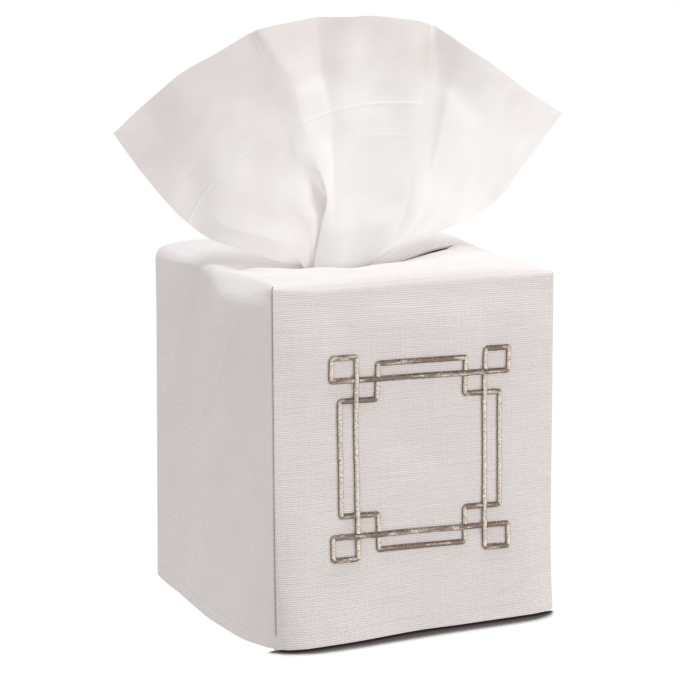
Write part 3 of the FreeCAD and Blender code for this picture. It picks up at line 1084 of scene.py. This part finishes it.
fold_crease = (0, 0.8, 0, 0, 0, 0.3, 0.35, 0, 0.5, 0, 0, 0, 0, 0.9, 0.8, 0.2, 0, 0, 0, 0)
# Pleats that run in behind a fold line: the column they lie before, which way, and their depth by row
pleats = (
    (5, 1, {0: 4.0, 1: 8.0, 2: 4.0}),
    (13, -1, {0: 8.0, 1: 16.0, 2: 21.0, 3: 21.0, 4: 19.0, 6: 12.0}),
)
pleat_behind = 6.5
# A pleat goes behind over its first rows, and its turn lies a little below the sheet
pleat_start = 0.25
pleat_rows = 3
pleat_lower = 0.6

# The tail below the slit is a little narrower than the slit's row
tail_heights = (116.0, 123.0)
tail_centre = -5.0
tail_share = 0.9
tissue_width = 213.0
row_height = 13.4
# Above the slit the sheet swells freely from this row on
free_row = 2
broad_swell = 0.35
small_swell = 0.15

# Two creases pressed across the sheet: the row each lies at, and the columns where it comes and goes
creases = (
    {"row": 3.25, "depth": 0.16, "width": 0.03, "start": 9.0, "rise": 1.5, "end": 12.0, "fade": 1.0},
    {"row": 4.0, "depth": 0.26, "width": 0.035, "start": -1.0, "rise": 1.0, "end": 12.0, "fade": 2.0},
)
crease_zone = 0.12


# The fold lines of one row, with the hidden turn of each pleat put in
def pleated_row(row):
    line = np.array(fold_net[row], float)
    made = list(line)
    for column, way, depth in reversed(pleats):
        fold = line[column] if way > 0 else line[column - 1]
        if row in depth:
            inward = pleat_behind * min(1.0, pleat_start + row / pleat_rows)
            turn = fold + np.array([way * depth[row], inward, 0.0])
            order = np.argsort(line[:, 0])
            turn[2] = np.interp(turn[0], line[order, 0], line[order, 2]) - pleat_lower
        else:
            turn = (line[column - 1] + line[column]) / 2
        made.insert(column, turn)
    return np.array(made)


def tissue_tail(height):
    tail = pleated_row(0)
    tail[:, 0] = tail_centre + (tail[:, 0] - tail_centre) * tail_share
    tail[:, 2] = height
    return tail


def pressed_in(crease, column, row):
    depth = crease["depth"] * bell(row - crease["row"], crease["width"])
    comes = eased((column - crease["start"]) / crease["rise"])
    goes = 1 - eased((column - crease["end"]) / crease["fade"])
    return depth * comes * goes


def tissue_sheet():
    table = [tissue_tail(height) for height in tail_heights]
    table += [pleated_row(int(row)) for row in fold_rows[len(tail_heights):]]
    columns = np.arange(len(table[0]), dtype=float)
    u = np.linspace(0, columns[-1], 420)
    near_crease = np.linspace(-crease_zone, crease_zone, 21)
    near_creases = [crease["row"] + near_crease for crease in creases]
    tail_rows = np.linspace(fold_rows[0], 0, 14)
    fan_rows = np.linspace(0, fold_rows[-1], 150)
    v = np.unique(np.concatenate([tail_rows, fan_rows, *near_creases]))
    points = net(fold_rows, columns, table, v, u, fold_crease)
    column, row = np.meshgrid(u, v)
    x, z = points[..., 0], points[..., 2]
    free = eased(row / free_row)
    points[..., 1] += free * broad_swell * swells(x, z, wavelength=22, count=9, seed=8)
    points[..., 1] += free * small_swell * swells(x, z, wavelength=8, count=9, seed=9)
    for crease in creases:
        points[..., 1] -= pressed_in(crease, column, row)
    uv = np.stack([column / columns[-1] * tissue_width, row * row_height], -1)
    return grid_piece("drawn_tissue", points, tissue_look, uv)


drawn_tissue = tissue_sheet()

# Tissues in the carton

clip_low, clip_high = frame_box("tissue_clip")
next_low, next_high = frame_box("next_tissue")
clip_half = clip_high[0]
clip_bend = clip_high[2] - clip_half
slot_half = 2.5
stack_layers = 26
layer_share = 0.94
layer_spread = 0.35
layer_uv = 8.0
layer_sharp = math.radians(40)
next_in = 0.2
next_swell = 0.12
# The lengths that a turn of the next sheet stands for
next_uv = 54
next_turn = 50


# The stack, sheet upon sheet, bent over its middle
def tissue_stack():
    turn = np.linspace(0, math.pi, 25)
    patches = []
    for layer in range(stack_layers):
        inner = slot_half + (clip_half - slot_half) * layer / stack_layers
        outer = slot_half + (clip_half - slot_half) * (layer + layer_share) / stack_layers
        front = clip_low[1] + abs(random.normal(0, layer_spread))
        back = clip_high[1] - abs(random.normal(0, layer_spread))
        lines, uv = [], []
        for radius, y in ((outer, front), (outer, back), (inner, back), (inner, front)):
            x = np.concatenate([[-radius], -radius * np.cos(turn), [radius]])
            z = np.concatenate([[clip_low[2]], clip_bend + radius * np.sin(turn), [clip_low[2]]])
            lines.append(np.stack([x, np.full(len(x), y), z], -1))
            uv.append(np.stack([np.arange(len(x)) * layer_uv, np.full(len(x), y)], -1))
        index = point_numbers(len(lines), len(lines[0]))
        faces = grid_faces(np.vstack([index, index[:1]]))
        patches.append((np.array(lines), faces, np.array(uv)))
    made = joined_piece("tissue_stack", patches, stack_look)
    made.data.set_sharp_from_angle(angle=layer_sharp)
    return made


def next_sheet():
    top_radius = next_high[2] - clip_bend
    reach = math.acos((next_low[2] - clip_bend) / top_radius)
    turn, y = np.meshgrid(np.linspace(-reach, reach, 90), np.linspace(next_low[1], next_high[1], 80))
    swell = swells(turn * next_turn, y, wavelength=18, count=7, seed=31)
    radius = top_radius - next_in + next_swell * swell
    points = np.stack([radius * np.sin(turn), y, clip_bend + radius * np.cos(turn)], -1)
    return grid_piece("next_sheet", points, tissue_look, np.stack([turn * next_uv, y], -1))


stack = tissue_stack()
next_tissue = next_sheet()

# Frame links


def link(piece, body, node):
    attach(piece, body)
    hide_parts(node)


link(top_linen, "cover", "top_panel")
for side, piece in side_linen.items():
    link(piece, "cover", f"{side}_panel")
for side, piece in hems.items():
    link(piece, "cover", f"{side}_hem")
for name, piece in seams.items():
    link(piece, "cover", f"{name}_seam")
link(facing, "cover", "slit_facing")
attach(hem_stitches, "cover")
link(looped_square, "cover", "embroidery_looped_square")
link(notched_square, "cover", "embroidery_notched_square")
link(drawn_tissue, "tissue", "popped_tissue")
link(stack, "carton", "tissue_clip")
link(next_tissue, "carton", "next_tissue")


def dress(node, look):
    node.data.materials.clear()
    node.data.materials.append(look)


for name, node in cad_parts.items():
    if name.startswith("carton_"):
        dress(node, board_look)
    elif name == "slit_film":
        dress(node, film_look)

# Stage, light and camera

# The contact shade's reach is in metres, and its edge and depth go by how open the sky is
floor_light = 0.88
sky_light = 0.5
floor_half = 3000.0
shade_colour = (1.0, 0.8, 0.8, 1.0)
shade_from = (-0.0585, -0.055)
shade_reach = (0.02, 0.0012)
shade_edge = (0.65, 0.71)
shade_depth = (0.35, 0.65)
shade_strength = (0.025, 0.14)


# Rays that see the white studio: straight from the camera, through film, or as a shine
def direct_rays(look):
    path = look.node("LightPath")
    seen = look.sums("MAXIMUM", path.outputs["Is Camera Ray"], path.outputs["Is Transmission Ray"])
    return look.sums("MAXIMUM", seen, path.outputs["Is Glossy Ray"])


# The floor is seen plain white but for the contact shade, and lights the cover a little less
def floor_look():
    look = new_look("floor")
    lit = look.node("Emission", {"Color": (*warm_white, 1.0), "Strength": floor_light}).outputs[0]
    plain = look.node("Emission", {"Color": white, "Strength": 1.0}).outputs[0]
    place = look.node("NewGeometry").outputs["Position"]
    depth = look.node("SeparateXYZ", {0: place}).outputs[1]
    reach = look.ranged(depth, shade_from, shade_reach)
    open_sky = look.node("AmbientOcclusion", {"Distance": reach}, samples=32).outputs["AO"]
    touch = look.ranged(open_sky, shade_edge, (1.0, 0.0), smooth=True)
    strength = look.ranged(open_sky, shade_depth, shade_strength)
    shade = look.node("Emission", {"Color": shade_colour, "Strength": strength}).outputs[0]
    seen = look.mixed(touch, plain, shade)
    return look.done(look.mixed(direct_rays(look), lit, seen))


def make_floor():
    corners = [(x * floor_half, y * floor_half, 0) for x, y in ((-1, -1), (1, -1), (1, 1), (-1, 1))]
    floor = mesh_piece("floor", corners, [(0, 1, 2, 3)], floor_look())


def studio():
    look = Look(bpy.data.worlds.new("studio"), "OutputWorld")
    soft = look.node("Background", {"Color": (*warm_white, 1.0), "Strength": sky_light}).outputs[0]
    plain = look.node("Background", {"Color": white, "Strength": 1.0}).outputs[0]
    return look.done(look.mixed(direct_rays(look), soft, plain))


make_floor()
scene.world = studio()

lamp_aim = (0.0, 0.0, 0.13)


def area_light(name, place, size, power, colour):
    data = bpy.data.lights.new(name, "AREA")
    data.shape = "DISK"
    data.size = size
    data.energy = power
    data.color = colour
    lamp = bpy.data.objects.new(name, data)
    scene.collection.objects.link(lamp)
    lamp.location = place
    lamp.rotation_mode = "QUATERNION"
    lamp.rotation_quaternion = (Vector(lamp_aim) - Vector(place)).to_track_quat("-Z", "Y")


area_light("overhead", place=(-0.14, -0.08, 1.4), size=0.7, power=11.0, colour=(0.935, 0.985, 1.02))
area_light("fill", place=(0.95, -0.75, 0.45), size=0.5, power=5.4, colour=warm_white)

camera_place = (-0.32798, -0.679634, 0.212329)
camera_right = Vector((0.902238, -0.431221, -0.003954))
camera_up = Vector((0.066235, 0.129509, 0.989364))
camera_data = bpy.data.cameras.new("camera")
camera_data.sensor_width = 36.0
camera_data.lens = 104.117
camera_data.clip_start = 0.05
camera_data.clip_end = 20.0
camera = bpy.data.objects.new("camera", camera_data)
scene.collection.objects.link(camera)
scene.camera = camera
camera_turn = Matrix((camera_right, camera_up, camera_right.cross(camera_up))).transposed()
camera.matrix_world = Matrix.Translation(camera_place) @ camera_turn.to_4x4()
scene.view_settings.view_transform = "Standard"

bpy.context.view_layer.update()
